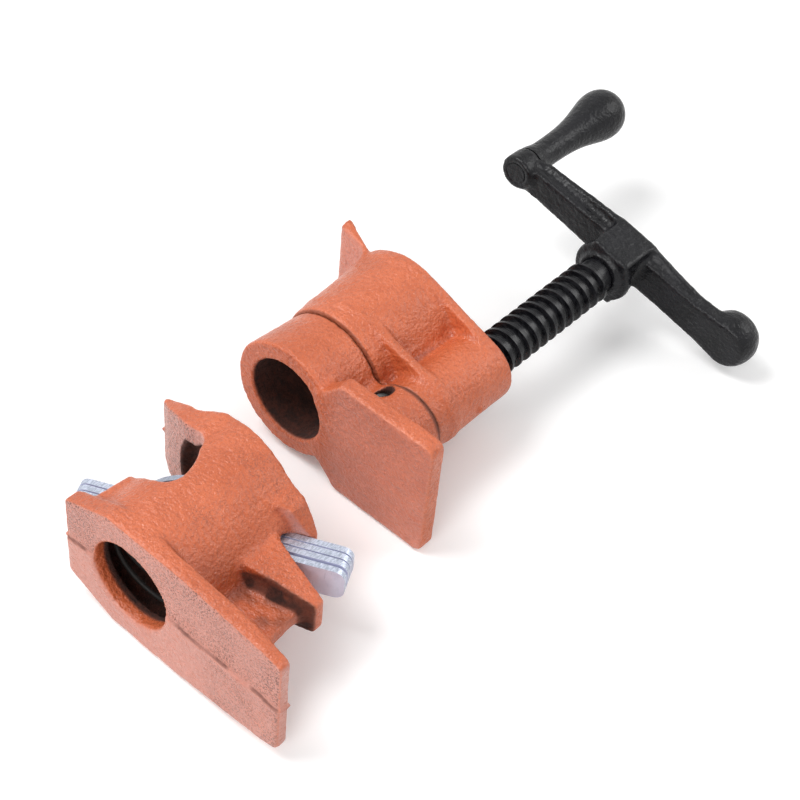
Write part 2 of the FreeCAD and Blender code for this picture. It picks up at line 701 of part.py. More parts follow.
def tilted_block(name, x0, x1, y0, y1, half):
    item = doc.addObject("Part::Box", name)
    bind(item, Length="(%s) - (%s)" % (x1, x0), Width="(%s) - (%s)" % (y1, y0),
         Height="2 * (%s)" % half)
    return tilted(item, x0, y0, "-(%s)" % half)


TAB_SLOT = "plate_tab_half + slot_gap"
opening_plan = [
    ("-60", "cheek_back"), ("-opening_edge - 12", "cheek_back + 0.2"),
    ("-opening_edge - 5.8", "cheek_back"), ("-opening_edge - 2.3", "cheek_back + 0.7"),
    ("-opening_edge - 0.4", "cheek_back + 2.6"), ("-opening_edge", "cheek_back + 5.5"),
    ("-opening_edge - 0.8", "cheek_back + 9"), ("-opening_edge - 2.3", "cheek_back + 12.6"),
    ("-opening_edge - 4.7", "cheek_back + 16"), ("-opening_edge - 5.9", "tail_length - 10.7"),
    ("-opening_edge - 7.4", "tail_length - 9.7"), ("-20", "tail_length - 9.2"),
    ("-foot_reach + 5", "tail_length - 5.9"), ("-foot_reach - 1", "tail_length - 2.7"),
    ("-60", "tail_length - 2.7"),
]
tip_shave = slab_up("tail_tip_shave", [
    ("0.68 * tail_reach", "tail_plate"), ("tail_reach + 5", "tail_tip_plate - 0.4"),
    ("tail_reach + 5", "tail_plate + 2"), ("0.68 * tail_reach", "tail_plate + 2"),
], "2 * tail_half")
back_trim = slab_up("tail_back_trim", [
    ("-60", "tail_length + 60 * rear_slope"), ("60", "tail_length - 60 * rear_slope"),
    ("60", "tail_length + 20"), ("-60", "tail_length + 20"),
], "2 * tail_half")
foot_hollow = meet("foot_hollow",
                   rod("foot_hollow_round", "foot_pocket", "14", y="tail_length - 18"),
                   block("foot_hollow_box", "-2 * foot_pocket", "-0.8 * pipe_bore",
                         "tail_length - 18", "tail_length - 4.5",
                         "-foot_pocket_half", "foot_pocket_half"))
tail = cut_all("tail_solid", tail_body, [
    tip_shave,
    back_trim,
    rod("tail_pipe_hole", "pipe_bore", "tail_length + 20", y="-10"),
    rod("tail_spot_face", "pipe_bore + 2.5", "20",
        y="tail_length - rear_slope * (pipe_bore + 2.5) - 0.1"),
    rod("tail_cavity_hole", "tail_cavity", "tail_length - tail_wall - back_wall", y="tail_wall"),
    tilted_block("foot_side_slot", "-50", "0", FRONT_Y + " - 2 * slot_gap",
                 "stack_back + slot_gap", TAB_SLOT),
    foot_hollow,
    tilted_block("jaw_side_slot", "0", "60", FRONT_Y + " - slot_gap - " + SWING,
                 "stack_back + slot_gap", TAB_SLOT),
    slab_up("side_opening", opening_plan, "2 * tail_half"),
])
node("tail_jaw_casting", put(tail, x="tail_shift_x", y="tail_shift_y"))

# ------------------------------------------------------------- clutch plates
for index in range(4):
    name = "clutch_plate_%d" % (index + 1)
    behind = 3 - index
    back = "stack_back - %d * (plate_thick + plate_gap)" % behind
    if index == 0:
        back += " + plate_gap - front_plate_gap"
    strip_sketch = outline(name + "_strip", [
        ("-plate_left", "-plate_tab_half"), ("plate_right", "-plate_tab_half"),
        ("plate_right", "plate_tab_half"), ("-plate_left", "plate_tab_half")], FACING_FRONT)
    strip = doc.addObject("Part::Extrusion", name + "_strip")
    strip.Base = strip_sketch
    strip.DirMode = "Custom"
    strip.Dir = V(0, 1, 0)
    strip.Solid = True
    bind(strip, LengthFwd="plate_thick")
    rounded = soften(name + "_rounded", strip, "plate_tab_round",
                     lambda mid, run, edge: abs(run.y) > 1)
    disc = rod(name + "_disc", "plate_body", "plate_thick")
    blank = join(name + "_blank", [rounded, disc])
    flat = cut(name + "_flat", blank, rod(name + "_hole", "plate_hole", "40", y="-10"))
    flat.Placement.Rotation = FreeCAD.Rotation(V(0, 0, 1), 1)
    flat.setExpression("Placement.Rotation.Angle", formula("clutch_tilt"))
    near = "(%s - plate_thick)" % back
    put(flat, x="tail_shift_x + %s * cos(clutch_tilt) - %s * sin(clutch_tilt)" % (HOLE_AT, near),
        y="tail_shift_y + %s * sin(clutch_tilt) + %s * cos(clutch_tilt)" % (HOLE_AT, near))
    node(name, flat)

# ------------------------------------------------------------- clutch spring
# its first coil lies on the front wall, its last one against the tilted plates
ring_radius = number("pipe_bore + spring_gap + spring_wire")
wall_y = number("tail_wall + spring_wire + 0.05")
lean = math.tan(math.radians(VALUE["clutch_tilt"]))
plate_y = number(FRONT_Y + " / cos(clutch_tilt)")
drop = number("(spring_wire + 0.15) / cos(clutch_tilt)")
turns = VALUE["spring_turns"]
track = []
steps = int(turns * 24)
for i in range(steps + 1):
    angle = 2 * math.pi * turns * i / steps
    share = i / steps
    x = -ring_radius * math.cos(angle)
    z = ring_radius * math.sin(angle)
    end_y = plate_y + lean * x - drop
    track.append(V(x, wall_y + share * (end_y - wall_y), z))
path = Part.BSplineCurve()
path.interpolate(track)
wire = Part.Wire(path.toShape())
first = path.tangent(path.FirstParameter)[0]
circle = Part.Wire(Part.makeCircle(VALUE["spring_wire"], track[0], first))
spring = doc.addObject("Part::Feature", "clutch_spring_solid")
spring.Shape = wire.makePipeShell([circle], True, True)
put(spring, x="tail_shift_x", y="tail_shift_y")
node("clutch_spring", spring)

# ------------------------------------------------------------ check and save
doc.removeObject("Probe")
doc.recompute()
for item in doc.Objects:
    bad = [word for word in item.State if word in ("Invalid", "Error")]
    if bad:
        raise RuntimeError("%s: %s" % (item.Name, bad))
os.makedirs("parts", exist_ok=True)
for item in NODES:
    shape = item.Shape
    if shape.isNull() or not shape.isValid() or not shape.Solids:
        raise RuntimeError("%s has no valid solid" % item.Label)
    shape.exportStep("parts/%s.step" % item.Label)
    print(item.Label, len(shape.Solids), round(shape.Volume, 1))
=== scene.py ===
"""Woodworking pipe clamp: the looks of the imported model.

Lengths are in millimetres until a mesh, lamp or camera is made. X runs from the feet to the jaw
tips, Y along the pipe from the clamping side to the crank, and Z up.
"""

import math

import bpy
import numpy as np
import openvdb
from mathutils import Matrix, Vector


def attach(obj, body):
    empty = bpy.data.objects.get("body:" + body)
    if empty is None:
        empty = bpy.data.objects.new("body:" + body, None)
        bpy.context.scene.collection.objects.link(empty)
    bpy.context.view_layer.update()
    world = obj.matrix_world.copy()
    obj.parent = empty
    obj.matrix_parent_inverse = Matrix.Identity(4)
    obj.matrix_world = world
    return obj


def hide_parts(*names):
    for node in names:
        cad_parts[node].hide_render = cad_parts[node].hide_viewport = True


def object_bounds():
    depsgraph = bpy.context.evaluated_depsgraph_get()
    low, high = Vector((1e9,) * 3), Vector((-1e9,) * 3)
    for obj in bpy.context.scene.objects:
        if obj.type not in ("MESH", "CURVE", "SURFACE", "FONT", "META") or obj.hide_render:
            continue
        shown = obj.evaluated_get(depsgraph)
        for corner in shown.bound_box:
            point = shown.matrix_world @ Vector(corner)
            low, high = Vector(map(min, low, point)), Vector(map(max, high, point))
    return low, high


MM = 0.001

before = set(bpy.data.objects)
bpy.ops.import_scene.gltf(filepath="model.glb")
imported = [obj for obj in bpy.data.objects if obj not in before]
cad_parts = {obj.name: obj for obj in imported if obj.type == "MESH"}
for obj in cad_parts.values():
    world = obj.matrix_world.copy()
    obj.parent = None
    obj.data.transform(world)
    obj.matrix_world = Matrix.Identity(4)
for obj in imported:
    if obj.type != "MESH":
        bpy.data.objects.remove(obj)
cad_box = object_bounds()


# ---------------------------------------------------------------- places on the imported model

ALONG = (0, 1, 0)
UP = (0, 0, 1)
PIPE_BORE = 13.75
SCREW_X = 30.6
SCREW_WALL = 9
JAW_PIN = (24.0, 15.2, 0.0)
PIN_HOLE = 2.6
JAW_BACK = 19.8
HEAD_FRONT = 20.1
NIB = np.array((42.0, 38.8, -0.5))
NIB_SIZE = np.array((3.0, 1.3, 1.3))
TAIL = np.array((18.54, -78.48, 0.0))
TAIL_HUB = 21


# ---------------------------------------------------------------- camera

CAMERA_PLACE = (244.4, -266.4, 386.0)
CAMERA_AZIMUTH = -37.26
CAMERA_DOWN = 46.59
CAMERA_ROLL = 6.44
CAMERA_LENS = 81.0
SENSOR_WIDTH = 36.0
CAMERA_NEAR = 0.01


def view_axes(azimuth, down, roll):
    """The camera's right, up and forward directions."""
    a, d, r = (math.radians(angle) for angle in (azimuth, down, roll))
    forward = Vector((math.sin(a) * math.cos(d), math.cos(a) * math.cos(d), -math.sin(d)))
    level = Vector((math.cos(a), -math.sin(a), 0))
    above = level.cross(forward)
    right = math.cos(r) * level + math.sin(r) * above
    up = math.cos(r) * above - math.sin(r) * level
    return right, up, forward


def make_camera():
    """The photograph's point of view."""
    right, up, forward = view_axes(CAMERA_AZIMUTH, CAMERA_DOWN, CAMERA_ROLL)
    lens = bpy.data.cameras.new("camera")
    lens.lens = CAMERA_LENS
    lens.sensor_width = SENSOR_WIDTH
    lens.clip_start = CAMERA_NEAR
    camera = bpy.data.objects.new("camera", lens)
    turned = Matrix((right, up, -forward)).transposed().to_4x4()
    camera.matrix_world = Matrix.Translation(Vector(CAMERA_PLACE) * MM) @ turned
    bpy.context.scene.collection.objects.link(camera)
    bpy.context.scene.camera = camera


# ---------------------------------------------------------------- stage, in metres and watts

FLOOR_REACH = 3.0
FLOOR_GLOW = 0.16
ROOM_LIGHT = 0.32
LAMP_TARGET = Vector((0.03, 0.04, 0))
LAMP_SIZE = 0.7
LAMPS = {
    "key_lamp": ((-0.55, -0.35, 1.10), 12.0),
    "front_lamp": ((0.35, -1.05, 0.75), 7.4),
    "back_lamp": ((0.60, 0.85, 0.80), 5.4),
}


def make_floor():
    """A pale floor under the clamp."""
    level = cad_box[0][2]
    signs = ((-1, -1), (1, -1), (1, 1), (-1, 1))
    corners = [(x * FLOOR_REACH, y * FLOOR_REACH, level) for x, y in signs]
    mesh = bpy.data.meshes.new("floor")
    mesh.from_pydata(corners, [], [(0, 1, 2, 3)])
    mesh.materials.append(white_floor())
    floor = bpy.data.objects.new("floor", mesh)
    bpy.context.scene.collection.objects.link(floor)


def make_lamps():
    """Soft square lamps that face the clamp."""
    for name, (place, power) in LAMPS.items():
        light = bpy.data.lights.new(name, "AREA")
        light.shape = "SQUARE"
        light.size = LAMP_SIZE
        light.energy = power
        lamp = bpy.data.objects.new(name, light)
        lamp.location = place
        lamp.rotation_euler = (LAMP_TARGET - Vector(place)).to_track_quat("-Z", "Y").to_euler()
        bpy.context.scene.collection.objects.link(lamp)


def make_room():
    """A world that lights the clamp dimly, and is white to the camera and in reflections."""
    room = bpy.data.worlds.new("room")
    room.use_nodes = True
    nodes, links = room.node_tree.nodes, room.node_tree.links
    background = nodes["Background"]
    background.inputs["Color"].default_value = (1, 1, 1, 1)
    path = nodes.new("ShaderNodeLightPath")
    seen = path.outputs["Is Camera Ray"]
    for kind in ("Is Transmission Ray", "Is Glossy Ray"):
        either = nodes.new("ShaderNodeMath")
        either.operation = "MAXIMUM"
        links.new(seen, either.inputs[0])
        links.new(path.outputs[kind], either.inputs[1])
        seen = either.outputs[0]
    strength = nodes.new("ShaderNodeMix")
    strength.inputs["A"].default_value = ROOM_LIGHT
    strength.inputs["B"].default_value = 1.0
    links.new(seen, strength.inputs["Factor"])
    links.new(strength.outputs["Result"], background.inputs["Strength"])
    bpy.context.scene.world = room


# ---------------------------------------------------------------- materials

class Paint:
    """A node material that is built up step by step, with lengths in millimetres."""

    def __init__(self, name):
        self.material = bpy.data.materials.new(name)
        self.material.use_nodes = True
        self.tree = self.material.node_tree
        self.shader = self.tree.nodes["Principled BSDF"]
        place = self.node("ShaderNodeTexCoord")
        self.place = self.node("ShaderNodeVectorMath", operation="SCALE",
                               Vector=place.outputs["Object"], Scale=1 / MM)

    def node(self, kind, **values):
        """A node with its settings, and its inputs as values or as other nodes."""
        made = self.tree.nodes.new(kind)
        for key, value in values.items():
            name = key.replace("_", " ")
            if hasattr(made, key) and key.islower():
                setattr(made, key, value)
                continue
            socket = made.inputs[int(key[1:])] if key[1:].isdigit() else made.inputs[name]
            self.feed(socket, value)
        return made

    def feed(self, socket, value):
        if isinstance(value, bpy.types.Node):
            value = next(output for output in value.outputs if output.enabled)
        if isinstance(value, bpy.types.NodeSocket):
            self.tree.links.new(value, socket)
        else:
            socket.default_value = value

    def noise(self, size, detail=2.0, rough=0.5, stretch=None):
        """Noise from 0 to 1 with features of this size."""
        place = self.place
        if stretch:
            place = self.node("ShaderNodeVectorMath", operation="MULTIPLY", i0=place, i1=stretch)
        return self.node("ShaderNodeTexNoise", Vector=place, Scale=1 / size, Detail=detail,
                         Roughness=rough)

    def ramp(self, value, low, high, start=0.0, end=1.0):
        """A value that goes smoothly from start to end as the given one goes from low to high."""
        if isinstance(value, bpy.types.Node):
            value = value.outputs["Fac"] if "Fac" in value.outputs else value
        return self.node("ShaderNodeMapRange", interpolation_type="SMOOTHSTEP", Value=value,
                         From_Min=low, From_Max=high, To_Min=start, To_Max=end)

    def blot(self, noise, low, high, first, second):
        """A colour that goes from first to second as the noise goes from low to high."""
        return self.mix(self.ramp(noise, low, high), shade(*first), shade(*second))

    def math(self, operation, a, b=0.0):
        return self.node("ShaderNodeMath", operation=operation, i0=a, i1=b)

    def mix(self, share, a, b):
        """A colour between a and b."""
        made = self.node("ShaderNodeMix", data_type="RGBA")
        colours = [socket for socket in made.inputs if socket.type == "RGBA"]
        self.feed(made.inputs["Factor"], share)
        self.feed(colours[0], a)
        self.feed(colours[1], b)
        return next(output for output in made.outputs if output.type == "RGBA")

    def attribute(self, name):
        return self.node("ShaderNodeAttribute", attribute_name=name).outputs["Fac"]

    def bump(self, height, depth, under=None):
        """A bump of this depth in millimetres, over another bump if there is one."""
        made = self.node("ShaderNodeBump", Height=height, Strength=1.0, Distance=depth * MM)
        if under:
            self.feed(made.inputs["Normal"], under)
        return made

    def finish(self, **values):
        for key, value in values.items():
            self.feed(self.shader.inputs[key.replace("_", " ")], value)
        return self.material


def shade(red, green, blue):
    return (red, green, blue, 1.0)


def white_floor():
    """A plain pale floor that the camera sees as nearly white."""
    paint = Paint("white_floor")
    grain = paint.noise(2.0, 2)
    path = paint.node("ShaderNodeLightPath")
    glow = paint.math("MULTIPLY", path.outputs["Is Camera Ray"], FLOOR_GLOW)
    return paint.finish(Base_Color=shade(0.92, 0.92, 0.92),
                        Roughness=paint.ramp(grain, 0.3, 0.7, 0.75, 0.85),
                        Emission_Color=shade(1.0, 1.0, 1.0), Emission_Strength=glow)


def orange_paint():
    """Thick orange enamel over sand-cast iron, with dirt in its pits, and painted shade, highlights
    and sheen.
    """
    paint = Paint("orange_enamel")
    cloud = paint.noise(14, 3)
    grain = paint.noise(1.1, 3, 0.6)
    lumps = paint.noise(2.2, 2, 0.5)
    pits = paint.noise(0.48, 2, 0.6)
    dots = paint.noise(0.5, 1, 0.5)
    patches = paint.noise(3.0, 4, 0.7)
    crevice_shade = paint.ramp(paint.attribute("crevice_shade"), 0.10, 1.0)
    edge = paint.ramp(paint.attribute("edge"), 0.06, 0.35)
    colour = paint.blot(cloud, 0.3, 0.7, (0.53, 0.118, 0.042), (0.62, 0.150, 0.060))
    colour = paint.mix(paint.ramp(grain, 0.36, 0.56, 0.30, 0.0), colour, shade(0.34, 0.060, 0.022))
    colour = paint.mix(paint.ramp(dots, 0.30, 0.22, 0.0, 0.55), colour, shade(0.20, 0.040, 0.018))
    # Painted highlights: sparse pale specks stand in for glints off the orange peel.
    colour = paint.mix(paint.ramp(dots, 0.72, 0.80, 0.0, 0.45), colour, shade(0.90, 0.46, 0.34))
    # Painted highlight: rounded outer edges are lightened.
    colour = paint.mix(paint.math("MULTIPLY", edge, 0.30), colour, shade(0.78, 0.26, 0.14))
    # Painted shade: filled inner corners are darkened.
    colour = paint.mix(paint.math("MULTIPLY", crevice_shade, 0.50), colour, shade(0.24, 0.040, 0.018))
    # Painted sheen: the faces that the pale mark covers turn pale pink, in patches.
    pale = paint.math("MULTIPLY", paint.attribute("pale"), paint.ramp(patches, 0.25, 0.6, 0.75, 1.0))
    colour = paint.mix(pale, colour, shade(0.60, 0.32, 0.28))
    worn = paint.attribute("worn")
    speck = paint.math("MULTIPLY", paint.ramp(pits, 0.50, 0.60), worn)
    colour = paint.mix(speck, colour, shade(0.17, 0.055, 0.036))
    # Painted shade in the bores, gaps and hollows, and the tail's dark parting line, in dark brown.
    shade_and_line = paint.attribute("shade_and_line")
    dark_brown = paint.blot(patches, 0.35, 0.65, (0.028, 0.010, 0.007), (0.070, 0.020, 0.012))
    colour = paint.mix(shade_and_line, colour, dark_brown)
    peel = paint.bump(lumps, 0.42)
    rough = paint.bump(grain, 0.40, peel)
    hole = paint.bump(paint.math("SUBTRACT", 1.0, speck), 0.05, rough)
    dull = paint.math("MAXIMUM", paint.ramp(grain, 0.3, 0.7, 0.38, 0.26), shade_and_line)
    return paint.finish(Base_Color=colour, Roughness=dull, Normal=hole, Specular_IOR_Level=0.5)


def black_enamel():
    """Black satin enamel over a cast surface."""
    paint = Paint("black_enamel")
    grain = paint.noise(1.3, 3, 0.6)
    cloud = paint.noise(9, 2)
    colour = paint.blot(cloud, 0.3, 0.7, (0.005, 0.005, 0.006), (0.010, 0.010, 0.012))
    peel = paint.bump(paint.noise(2.6, 2), 0.25)
    rough = paint.bump(grain, 0.22, peel)
    return paint.finish(Base_Color=colour, Roughness=paint.ramp(grain, 0.3, 0.7, 0.36, 0.20),
                        Normal=rough, Specular_IOR_Level=0.25)


def screw_black():
    """Oiled black oxide with turning marks."""
    paint = Paint("oiled_black_oxide")
    marks = paint.noise(0.8, 3, 0.6, (0.3, 2.0, 0.3))
    spots = paint.noise(1.6, 3, 0.6)
    colour = paint.blot(marks, 0.35, 0.65, (0.003, 0.003, 0.004), (0.009, 0.009, 0.011))
    rough = paint.bump(spots, 0.10, paint.bump(marks, 0.05))
    return paint.finish(Base_Color=colour, Roughness=paint.ramp(marks, 0.3, 0.7, 0.20, 0.36),
                        Normal=rough, Specular_IOR_Level=0.32)


def zinc_plate():
    """Bright zinc on the plates' faces, with grey sheared rims and painted shade round the pipe's
    hole.
    """
    paint = Paint("bright_zinc")
    rolled = paint.noise(0.7, 3, 0.6, (1.0, 1.0, 0.12))
    torn = paint.noise(0.35, 2, 0.6, (1.0, 0.25, 1.0))
    cloud = paint.noise(5, 3)
    colour = paint.blot(cloud, 0.3, 0.7, (0.66, 0.68, 0.84), (0.76, 0.78, 0.93))
    colour = paint.mix(paint.ramp(rolled, 0.58, 0.72, 0.0, 0.25), colour, shade(0.30, 0.33, 0.42))
    facing = paint.node("ShaderNodeNewGeometry").outputs["Normal"]
    side = paint.node("ShaderNodeSeparateXYZ", Vector=facing)
    rim = paint.ramp(paint.math("ABSOLUTE", side.outputs["Y"]), 0.65, 0.90, 1.0, 0.0)
    sheared = paint.blot(torn, 0.35, 0.65, (0.34, 0.38, 0.46), (0.58, 0.62, 0.73))
    colour = paint.mix(rim, colour, sheared)
    across = paint.node("ShaderNodeVectorMath", operation="MULTIPLY", i0=paint.place,
                        i1=(1.0, 0.0, 1.0))
    away = paint.node("ShaderNodeVectorMath", operation="DISTANCE", i0=across,
                      i1=(TAIL[0], 0.0, 0.0))
    # Painted shade: inside the tail's hub, the plates go nearly black and dull.
    hub_shade = paint.ramp(away.outputs["Value"], 16.0, 20.0, 1.0, 0.0)
    colour = paint.mix(hub_shade, colour, shade(0.020, 0.018, 0.018))
    shine = paint.math("MULTIPLY", paint.math("SUBTRACT", 1.0, hub_shade),
                       paint.ramp(rim, 0.0, 1.0, 0.35, 0.80))
    dull = paint.math("MAXIMUM", paint.ramp(rolled, 0.3, 0.7, 0.32, 0.48),
                      paint.math("MULTIPLY", hub_shade, 0.7))
    return paint.finish(Base_Color=colour, Metallic=shine, Roughness=dull,
                        Normal=paint.bump(torn, 0.03, paint.bump(rolled, 0.04)))


def spring_wire():
    """Spring wire with a dull black oxide, drawn along its length."""
    paint = Paint("spring_wire")
    drawn = paint.noise(0.6, 3, 0.6)
    colour = paint.blot(drawn, 0.4, 0.7, (0.010, 0.009, 0.009), (0.022, 0.018, 0.016))
    return paint.finish(Base_Color=colour, Roughness=paint.ramp(drawn, 0.3, 0.7, 0.5, 0.7),
                        Normal=paint.bump(drawn, 0.03), Specular_IOR_Level=0.3)


def plain_steel(name, bright):
    """Bare steel with drawn lines and a trace of oil."""
    paint = Paint(name)
    drawn = paint.noise(0.4, 3, 0.6, (1.0, 1.0, 0.2))
    stain = paint.noise(2.5, 3)
    colour = paint.blot(stain, 0.4, 0.7, (bright, bright, bright),
                        (bright * 0.5, bright * 0.45, bright * 0.4))
    return paint.finish(Base_Color=colour, Metallic=1.0,
                        Roughness=paint.ramp(drawn, 0.3, 0.7, 0.28, 0.5),
                        Normal=paint.bump(drawn, 0.02))


# ---------------------------------------------------------------- cast skins

VOXEL = 0.5
GRID_STEP = openvdb.createLinearTransform(voxelSize=VOXEL)
GRID_MARGIN = 8
GRID_REACH = 4.0
MARK_MOST = 2
GRAIN = ((0.05, 2.1, 1), (0.05, 1.25, 2), (0.10, 8.0, 3))


def cad_shape(node):
    """A CAD node's points in millimetres and its triangles."""
    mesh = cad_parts[node].data
    mesh.calc_loop_triangles()
    points = np.empty(len(mesh.vertices) * 3, np.float32)
    mesh.vertices.foreach_get("co", points)
    triangles = np.empty(len(mesh.loop_triangles) * 3, np.int32)
    mesh.loop_triangles.foreach_get("vertices", triangles)
    return points.reshape(-1, 3) / MM, triangles.reshape(-1, 3).astype(np.uint32)


def level_set(points, triangles=None, quads=None, reach=GRID_REACH):
    """The distance from a closed surface, out to reach on both sides."""
    return openvdb.FloatGrid.createLevelSetFromPolygons(
        np.ascontiguousarray(points, np.float32), triangles=triangles, quads=quads,
        transform=GRID_STEP, halfWidth=reach / VOXEL)


def moved_out(points, quads, amount):
    """The surface moved out by amount, or in where it is below zero."""
    return level_set(points, quads=quads, reach=abs(amount) + 2 * VOXEL).convertToQuads(amount)


def rounded(points, triangles, hollow, edge):
    """A level set with hollow corners filled to one radius and edges rounded to another."""
    points, quads = level_set(points, triangles, reach=hollow + 2 * VOXEL).convertToQuads(hollow)
    points, quads = moved_out(points, quads, -hollow - edge)
    points, quads = moved_out(points, quads, edge)
    return level_set(points, quads=quads)


def dense(grid, low, size):
    """A level set as an array of distances over a box of voxels."""
    values = np.full(size, grid.background, np.float32)
    grid.copyToArray(values, ijk=low)
    return values


def sampled(values, low, points):
    """The array's value at each point, between its voxels."""
    cell = points / VOXEL - np.array(low)
    base = np.clip(np.floor(cell).astype(int), 0, np.array(values.shape) - 2)
    part = np.clip(cell - base, 0, 1)
    total = np.zeros(len(points))
    for corner in np.ndindex(2, 2, 2):
        weight = np.prod(np.where(corner, part, 1 - part), axis=1)
        i, j, k = (base + corner).T
        total += weight * values[i, j, k]
    return total


def smooth_noise(points, size, seed):
    """Smooth noise from -1 to 1 with features of this size, from a table that repeats."""
    side = 32
    table = np.random.default_rng(seed).uniform(-1, 1, (side, side, side))
    cell = points / size
    base = np.floor(cell).astype(int)
    part = cell - base
    part = part * part * (3 - 2 * part)
    total = np.zeros(len(points))
    for corner in np.ndindex(2, 2, 2):
        weight = np.prod(np.where(corner, part, 1 - part), axis=1)
        i, j, k = ((base + corner) % side).T
        total += weight * table[i, j, k]
    return total


def fade(value, low, high):
    """0 below low, 1 above high and smooth between."""
    share = np.clip((value - low) / (high - low), 0, 1)
    return share * share * (3 - 2 * share)


def band(value, low, rise, fall, high):
    """1 between rise and fall, 0 below low and above high, and smooth between."""
    return fade(value, low, rise) * fade(-value, -high, -fall)


def cast_skin(node, body, hollow, edge, holes, relief, worn=None, inside=(), dark=None,
              pale=None):
    """A sand-cast surface that stands for a CAD node.

    hollow is the radius that fills inner corners, and edge the one that rounds outer edges.
    holes lists (point, direction, radius) of small drilled holes, cut again after the rounding.
    relief gives how far each point stands out from the smooth shape.
    worn gives how much of the paint is pitted, and inside lists the round hollows, as (point,
    direction, radius, start, end), whose walls get painted shade. dark gives the painted shade in
    gaps and other hollows, and a dark parting line, and pale gives where a painted sheen lies.
    """
    points, triangles = cad_shape(node)
    low = np.floor(points.min(0) / VOXEL).astype(int) - GRID_MARGIN
    size = np.ceil(points.max(0) / VOXEL).astype(int) + GRID_MARGIN - low
    exact = dense(level_set(points, triangles), tuple(low), tuple(size))
    soft = dense(rounded(points, triangles, hollow, edge), tuple(low), tuple(size))
    place = np.stack(np.meshgrid(*(np.arange(n) for n in size), indexing="ij"), -1) + low
    place = place * VOXEL
    for point, direction, radius in holes:
        away = place - np.array(point)
        along = np.array(direction, float)
        across = np.linalg.norm(away - (away @ along)[..., None] * along, axis=-1)
        soft = np.maximum(soft, radius - across)
    grid = openvdb.FloatGrid(GRID_REACH)
    grid.copyFromArray(soft.astype(np.float32), ijk=tuple(low))
    grid.transform = GRID_STEP
    grid.gridClass = openvdb.GridClass.LEVEL_SET
    skin_points, quads = grid.convertToQuads(0.0)

    mesh = bpy.data.meshes.new(node + "_skin")
    mesh.from_pydata(skin_points * MM, [], quads[:, ::-1])
    normals = np.empty(len(mesh.vertices) * 3, np.float32)
    mesh.vertex_normals.foreach_get("vector", normals)
    normals = normals.reshape(-1, 3)
    depth = sampled(exact, low, skin_points)
    skin_points = skin_points + normals * relief(skin_points, normals)[:, None]
    mesh.vertices.foreach_set("co", (skin_points * MM).ravel().astype(np.float32))
    # Painted shade on the walls of the round hollows, then the places that dark gives.
    shade_and_line = np.zeros(len(skin_points))
    for point, direction, radius, start, end in inside:
        wall = inner_wall(skin_points, normals, point, direction, radius, start, end)
        shade_and_line = np.maximum(shade_and_line, wall)
    if dark:
        shade_and_line = np.maximum(shade_and_line, dark(skin_points, normals))
    # Paint lightens rounded edges (painted highlight) and darkens filled corners (painted shade).
    marks = {"edge": np.clip(-depth, 0, MARK_MOST), "crevice_shade": np.clip(depth, 0, MARK_MOST),
             "shade_and_line": shade_and_line,
             "worn": worn(skin_points, normals) if worn else shade_and_line * 0,
             "pale": pale(skin_points, normals) if pale else shade_and_line * 0}
    for name, values in marks.items():
        mark = mesh.attributes.new(name, "FLOAT", "POINT")
        mark.data.foreach_set("value", values.astype(np.float32))
    mesh.shade_smooth()
    mesh.update()
    skin = bpy.data.objects.new(node + "_skin", mesh)
    bpy.context.scene.collection.objects.link(skin)
    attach(skin, body)
    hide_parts(node)
    return skin


def inner_wall(points, normals, point, direction, radius, start, end):
    """1 on the walls of a round hollow that face its axis, and 0 elsewhere."""
    away = points - np.array(point)
    along = away @ np.array(direction, float)
    across = away - along[:, None] * np.array(direction, float)
    reach = np.linalg.norm(across, axis=1)
    facing = -(normals * across).sum(1) / np.maximum(reach, 1e-6)
    return ((reach < radius) * band(along, start, start + 1.0, end - 1.0, end)
            * np.maximum(fade(facing, 0.0, 0.5), fade(radius - reach, 0.8, 1.6)))


def sand_grain(points, normals):
    """The sand mould's grain under thick paint: layers of a height, a size and a seed."""
    return sum(height * smooth_noise(points, size, seed) for height, size, seed in GRAIN)


def tail_front(points, normals):
    """1 on the face of the tail's jaw plate, and 0 elsewhere."""
    return fade(-normals[:, 1], 0.6, 0.9) * fade(TAIL[1] + 1.5 - points[:, 1], 0.0, 1.0)


def tail_parting(points):
    """How high each point is over the line where the two mould halves met."""
    return points[:, 2] + 0.6 * smooth_noise(points, 6.0, 11)


def tail_relief(points, normals):
    """Sand grain, with the two mould halves out of step along the parting line."""
    x, y, z = (points - TAIL).T
    wander = tail_parting(points)
    step = 0.30 * (1 - 2 * fade(wander, -0.45, 0.45))
    ends = fade(np.abs(normals[:, 0]), 0.7, 0.9) * np.maximum(fade(x, 53, 54), fade(-x, 23, 24))
    flash = 0.9 * np.exp(-(wander / 0.6) ** 2) * ends
    return sand_grain(points, normals) + step * tail_front(points, normals) + flash


def tail_worn(points, normals):
    """Where dark pits break through the paint: bands across the plate, and the foot's face."""
    x, y, z = (points - TAIL).T
    patch = fade(smooth_noise(points, 9.0, 21) + 0.5 * smooth_noise(points, 3.5, 22), -0.35, 0.4)
    front = tail_front(points, normals)
    upper = fade(z, -0.5, 2.5) + 0.9 * fade(x, 26, 34) * fade(-z, 0.0, 2.0)
    foot = fade(-normals[:, 1], 0.4, 0.8) * fade(-x, 14, 17) * fade(y, 36, 38)
    hub = 0.35 * fade(y, 8, 14) * fade(z, 2, 10) * fade(x, -6, 2)
    top = 0.25 * fade(normals[:, 2], 0.5, 0.9) * fade(-y, -9, -3)
    rest = (hub + top) * patch * (1 - front)
    return np.clip(front * upper * (0.55 + 0.45 * patch) + 0.9 * foot + rest, 0, 1)


def tail_sheen(points, normals):
    """Painted sheen on the jaw plate's face and ends, and on the foot's face."""
    x, y, z = (points - TAIL).T
    ends = fade(normals[:, 0], 0.7, 0.95) * fade(x, 50, 53) * fade(-y, -11, -9)
    foot = fade(-normals[:, 1], 0.5, 0.9) * fade(y, 36, 38)
    return 0.62 * np.clip(tail_front(points, normals) + ends + foot, 0, 1)


